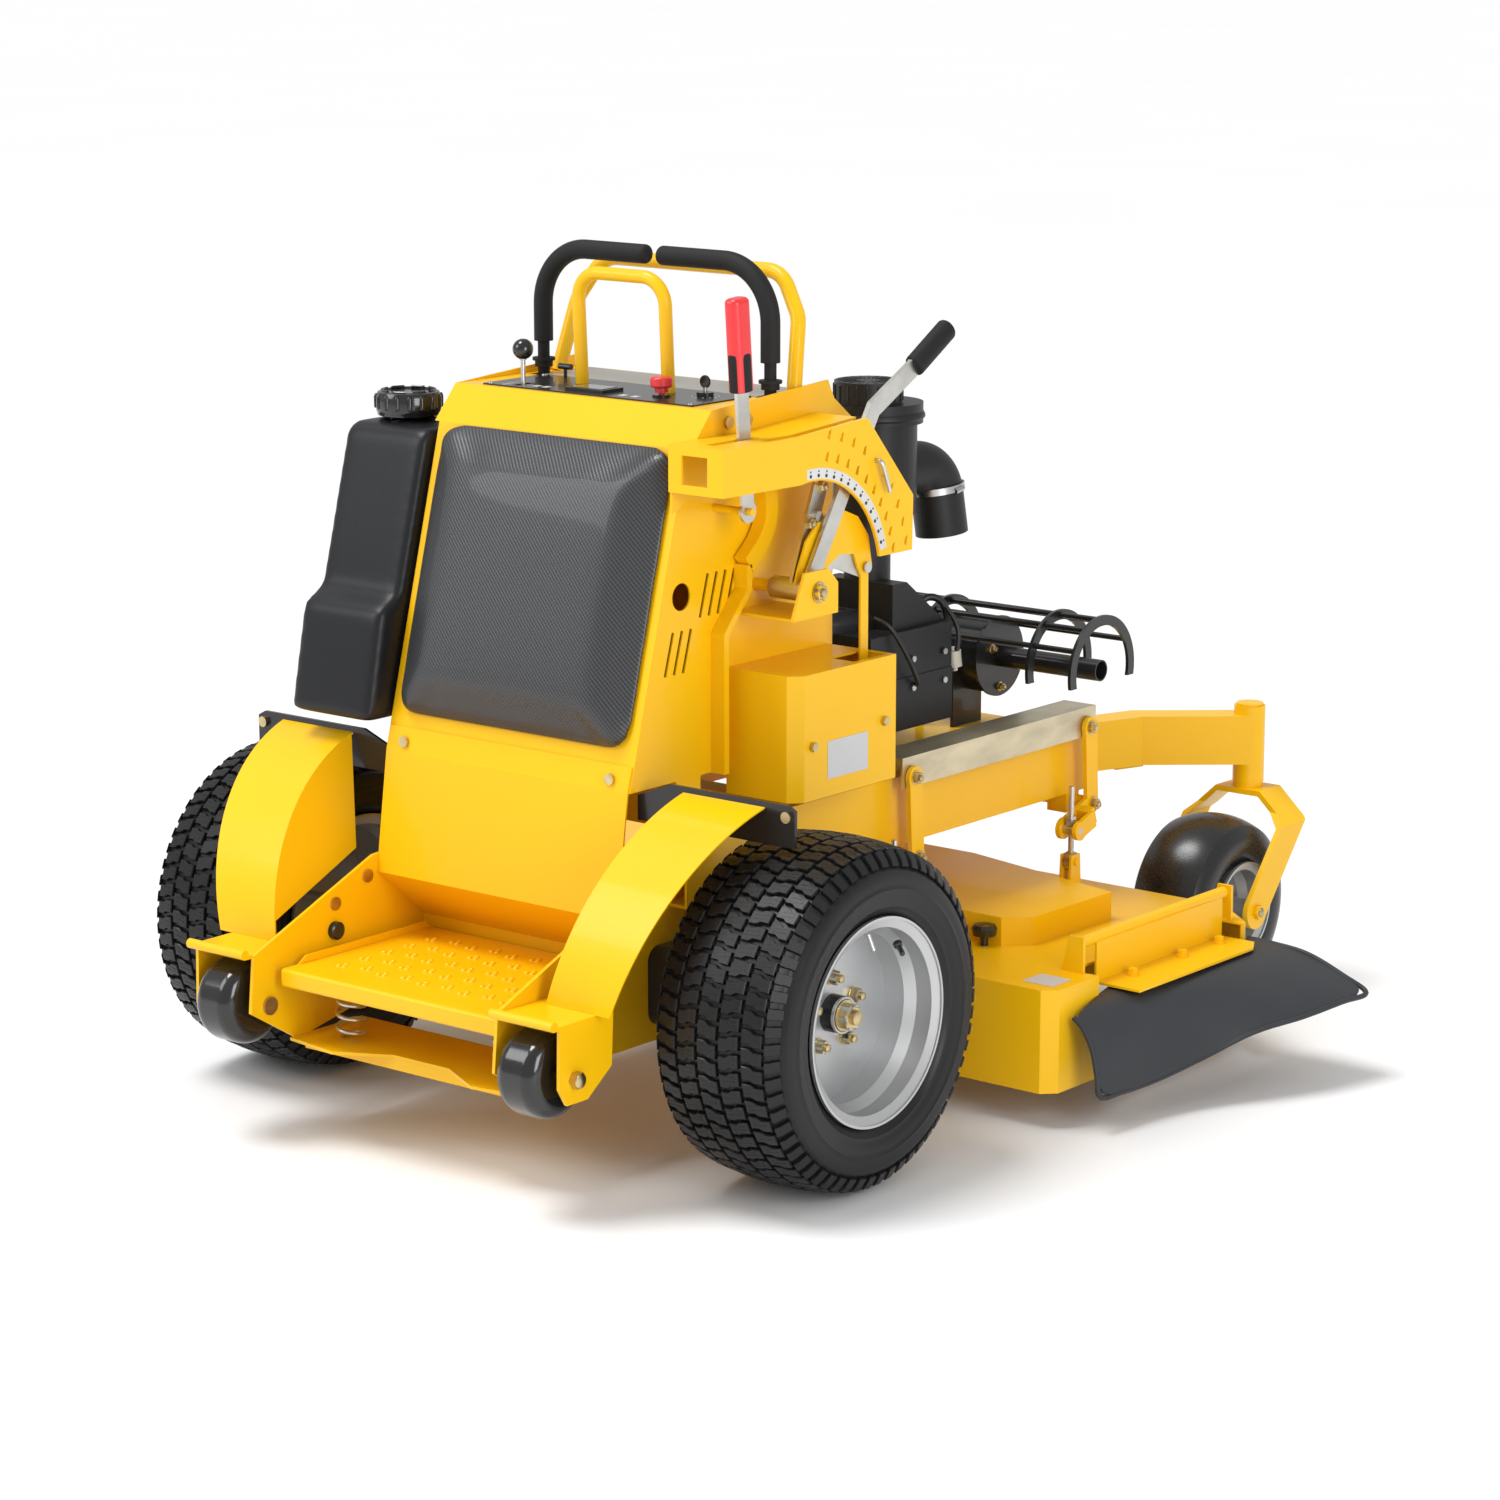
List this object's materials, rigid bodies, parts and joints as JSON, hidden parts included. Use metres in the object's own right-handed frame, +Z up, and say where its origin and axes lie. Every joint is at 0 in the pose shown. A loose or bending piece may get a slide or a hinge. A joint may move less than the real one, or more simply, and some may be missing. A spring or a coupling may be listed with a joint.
{
  "type": "stand-on zero-turn mower",
  "caption": "Stand-on zero-turn mower: sprung standing platform, tower with bent drive levers, side-discharge deck on a lift linkage, turf drive wheels and front casters.",
  "frame": {"origin": "middle of the overall box on the ground", "axes": "+X to the operator's right, +Y forward, +Z up"},
  "size_m": [1.62, 1.946, 1.41],
  "materials": {
    "yellow_paint": "gloss",
    "black_paint": "gloss",
    "tyre_rubber": "matt",
    "chute_rubber": "satin",
    "roller_rubber": "satin",
    "grip_foam": "matt",
    "red_grip": "gloss",
    "rim_paint": "satin",
    "zinc_plate": "zinc plated",
    "gold_zinc": "yellow zinc plated",
    "steel": "bare",
    "aluminium_cast": "as cast",
    "tank_plastic": "moulded",
    "engine_plastic": "moulded",
    "knob_plastic": "gloss",
    "pad_vinyl": "woven vinyl, semi gloss",
    "belt_rubber": "matt"
  },
  "bodies": {
    "chassis": {"main_frame": "yellow_paint", "rear_side_plates": "yellow_paint", "lower_rear_panel": "yellow_paint", "tower_shell": "yellow_paint", "console_housing": "yellow_paint", "console_panel": "black_paint", "thigh_pad": "pad_vinyl", "fuel_tank": "tank_plastic", "grab_hoops": "yellow_paint", "fenders": "yellow_paint", "fender_brackets": "black_paint", "lever_quadrant": "yellow_paint", "guard_box": "yellow_paint", "engine_block": "aluminium_cast", "blower_housing": "engine_plastic", "air_cleaner": "engine_plastic", "muffler": "black_paint", "muffler_guard": "black_paint", "hydro_transmissions": "black_paint", "frame_bolts": "gold_zinc", "platform_springs": "zinc_plate"},
    "cap": {"fuel_cap": "knob_plastic"},
    "clutch": {"clutch_pulley": "steel"},
    "left_wheel": {"left_tyre": "tyre_rubber", "left_rim": "rim_paint"},
    "right_wheel": {"right_tyre": "tyre_rubber", "right_rim": "rim_paint"},
    "left_fork": {"left_caster_fork": "yellow_paint"},
    "right_fork": {"right_caster_fork": "yellow_paint"},
    "left_caster": {"left_caster_tyre": "tyre_rubber", "left_caster_rim": "rim_paint"},
    "right_caster": {"right_caster_tyre": "tyre_rubber", "right_caster_rim": "rim_paint"},
    "left_anti_tip_roller": {"left_roller": "roller_rubber"},
    "right_anti_tip_roller": {"right_roller": "roller_rubber"},
    "footboard": {"platform": "yellow_paint"},
    "left_lever": {"left_drive_lever": "grip_foam"},
    "right_lever": {"right_drive_lever": "grip_foam"},
    "throttle": {"throttle_lever": "knob_plastic"},
    "choke": {"choke_knob": "knob_plastic"},
    "blade_switch": {"pto_knob": "red_grip"},
    "key": {"ignition_key": "steel"},
    "brake": {"brake_lever": "zinc_plate", "brake_grip": "red_grip"},
    "lift": {"lift_lever": "zinc_plate", "lift_grip": "grip_foam"},
    "strap": {"lift_strap": "yellow_paint"},
    "pin": {"height_pin": "zinc_plate"},
    "deck": {"deck_shell": "yellow_paint", "belt_covers": "yellow_paint", "deck_belt": "belt_rubber"},
    "chute": {"chute_bracket": "yellow_paint", "rubber_chute": "chute_rubber"},
    "blade_left": {"left_spindle": "steel"},
    "blade_centre": {"centre_spindle": "steel"},
    "blade_right": {"right_spindle": "steel"},
    "front_crank": {"front_lift_shaft": "yellow_paint"},
    "rear_crank": {"rear_lift_shaft": "yellow_paint"},
    "link": {"lift_link": "gold_zinc"},
    "hangers": {"deck_hangers": "zinc_plate"}
  },
  "joints": [
    {"name": "left_wheel_spin", "type": "hinge", "parent": "chassis", "child": "left_wheel", "pos_m": [-0.669, -0.508, 0.278], "axis": [1, 0, 0], "continuous": true},
    {"name": "left_caster_swivel", "type": "hinge", "parent": "chassis", "child": "left_fork", "pos_m": [-0.536, 0.936, 0.512], "axis": [0, 0, 1], "continuous": true},
    {"name": "left_caster_spin", "type": "hinge", "parent": "left_fork", "child": "left_caster", "pos_m": [-0.536, 0.808, 0.165], "axis": [1, 0, 0], "continuous": true},
    {"name": "left_roller_spin", "type": "hinge", "parent": "chassis", "child": "left_anti_tip_roller", "pos_m": [-0.445, -0.903, 0.228], "axis": [1, 0, 0], "continuous": true},
    {"name": "left_lever_tilt", "type": "hinge", "parent": "chassis", "child": "left_lever", "pos_m": [-0.362, -0.246, 1.15], "axis": [1, 0, 0], "range_deg": [-12, 12], "stiffness_Nm_per_rad": 12},
    {"name": "right_wheel_spin", "type": "hinge", "parent": "chassis", "child": "right_wheel", "pos_m": [0.429, -0.508, 0.278], "axis": [1, 0, 0], "continuous": true},
    {"name": "right_caster_swivel", "type": "hinge", "parent": "chassis", "child": "right_fork", "pos_m": [0.296, 0.936, 0.512], "axis": [0, 0, 1], "continuous": true},
    {"name": "right_caster_spin", "type": "hinge", "parent": "right_fork", "child": "right_caster", "pos_m": [0.296, 0.808, 0.165], "axis": [1, 0, 0], "continuous": true},
    {"name": "right_roller_spin", "type": "hinge", "parent": "chassis", "child": "right_anti_tip_roller", "pos_m": [0.205, -0.903, 0.228], "axis": [1, 0, 0], "continuous": true},
    {"name": "right_lever_tilt", "type": "hinge", "parent": "chassis", "child": "right_lever", "pos_m": [0.122, -0.246, 1.15], "axis": [1, 0, 0], "range_deg": [-12, 12], "stiffness_Nm_per_rad": 12},
    {"name": "platform_sway", "type": "hinge", "parent": "chassis", "child": "footboard", "pos_m": [-0.12, -0.558, 0.273], "axis": [1, 0, 0], "range_deg": [0, 7], "stiffness_Nm_per_rad": 800, "springref_deg": -3.44, "deforming": ["platform_springs"]},
    {"name": "throttle_tilt", "type": "hinge", "parent": "chassis", "child": "throttle", "pos_m": [-0.279, -0.39, 1.16], "axis": [1, 0, 0], "range_deg": [-15, 15]},
    {"name": "choke_pull", "type": "slide", "parent": "chassis", "child": "choke", "axis": [0, 0, 1], "range_m": [0, 0.025]},
    {"name": "blade_switch_pull", "type": "slide", "parent": "chassis", "child": "blade_switch", "axis": [0, 0, 1], "range_m": [0, 0.008]},
    {"name": "key_turn", "type": "hinge", "parent": "chassis", "child": "key", "pos_m": [0.048, -0.32, 1.182], "axis": [0, 0, 1], "range_deg": [-60, 0]},
    {"name": "brake_pull", "type": "hinge", "parent": "chassis", "child": "brake", "pos_m": [0.207, -0.413, 1.026], "axis": [1, 0, 0], "range_deg": [0, 25]},
    {"name": "pin_pull", "type": "slide", "parent": "chassis", "child": "pin", "axis": [1, 0, 0], "range_m": [0, 0.03]},
    {"name": "deck_lift", "type": "slide", "parent": "chassis", "child": "deck", "axis": [0, 0, 1], "range_m": [0, 0.06458]},
    {"name": "lift_lever_swing", "type": "hinge", "parent": "chassis", "child": "lift", "pos_m": [0.241, -0.308, 0.89], "axis": [1, 0, 0], "range_deg": [0, 42]},
    {"name": "strap_pivot", "type": "hinge", "parent": "lift", "child": "strap", "pos_m": [0.233, -0.143, 0.905], "axis": [1, 0, 0], "range_deg": [-42, 0]},
    {"name": "front_crank_turn", "type": "hinge", "parent": "chassis", "child": "front_crank", "pos_m": [-0.12, 0.547, 0.386], "axis": [1, 0, 0], "range_deg": [-42, 0]},
    {"name": "rear_crank_turn", "type": "hinge", "parent": "chassis", "child": "rear_crank", "pos_m": [-0.12, 0.031, 0.386], "axis": [1, 0, 0], "range_deg": [-42, 0]},
    {"name": "link_pivot", "type": "hinge", "parent": "front_crank", "child": "link", "pos_m": [0.211, 0.539, 0.525], "axis": [1, 0, 0], "range_deg": [0, 42]},
    {"name": "hanger_pivot", "type": "hinge", "parent": "front_crank", "child": "hangers", "pos_m": [0.232, 0.462, 0.356], "axis": [1, 0, 0], "range_deg": [0, 42]},
    {"name": "chute_swing", "type": "hinge", "parent": "deck", "child": "chute", "pos_m": [0.53, 0.2745, 0.285], "axis": [0, -1, 0], "range_deg": [0, 85]},
    {"name": "blade_centre_spin", "type": "hinge", "parent": "deck", "child": "blade_centre", "pos_m": [-0.12, 0.342, 0.236], "axis": [0, 0, 1], "continuous": true},
    {"name": "blade_left_spin", "type": "hinge", "parent": "deck", "child": "blade_left", "pos_m": [-0.545, 0.182, 0.236], "axis": [0, 0, 1], "continuous": true},
    {"name": "blade_right_spin", "type": "hinge", "parent": "deck", "child": "blade_right", "pos_m": [0.305, 0.182, 0.236], "axis": [0, 0, 1], "continuous": true},
    {"name": "cap_turn", "type": "hinge", "parent": "chassis", "child": "cap", "pos_m": [-0.496, -0.433, 1.143], "axis": [0, 0, 1], "range_deg": [0, 120]},
    {"name": "clutch_spin", "type": "hinge", "parent": "chassis", "child": "clutch", "pos_m": [-0.12, 0.132, 0.52], "axis": [0, 0, 1], "continuous": true}
  ],
  "couplings": [
    {"joint": "lift_lever_swing", "follows": "deck_lift", "rad_per_m": 11.345},
    {"joint": "strap_pivot", "follows": "deck_lift", "rad_per_m": -11.345},
    {"joint": "front_crank_turn", "follows": "deck_lift", "rad_per_m": -11.345},
    {"joint": "rear_crank_turn", "follows": "deck_lift", "rad_per_m": -11.345},
    {"joint": "link_pivot", "follows": "deck_lift", "rad_per_m": 11.345},
    {"joint": "hanger_pivot", "follows": "deck_lift", "rad_per_m": 11.345},
    {"joint": "blade_left_spin", "follows": "blade_centre_spin", "ratio": 1},
    {"joint": "blade_right_spin", "follows": "blade_centre_spin", "ratio": 1}
  ]
}
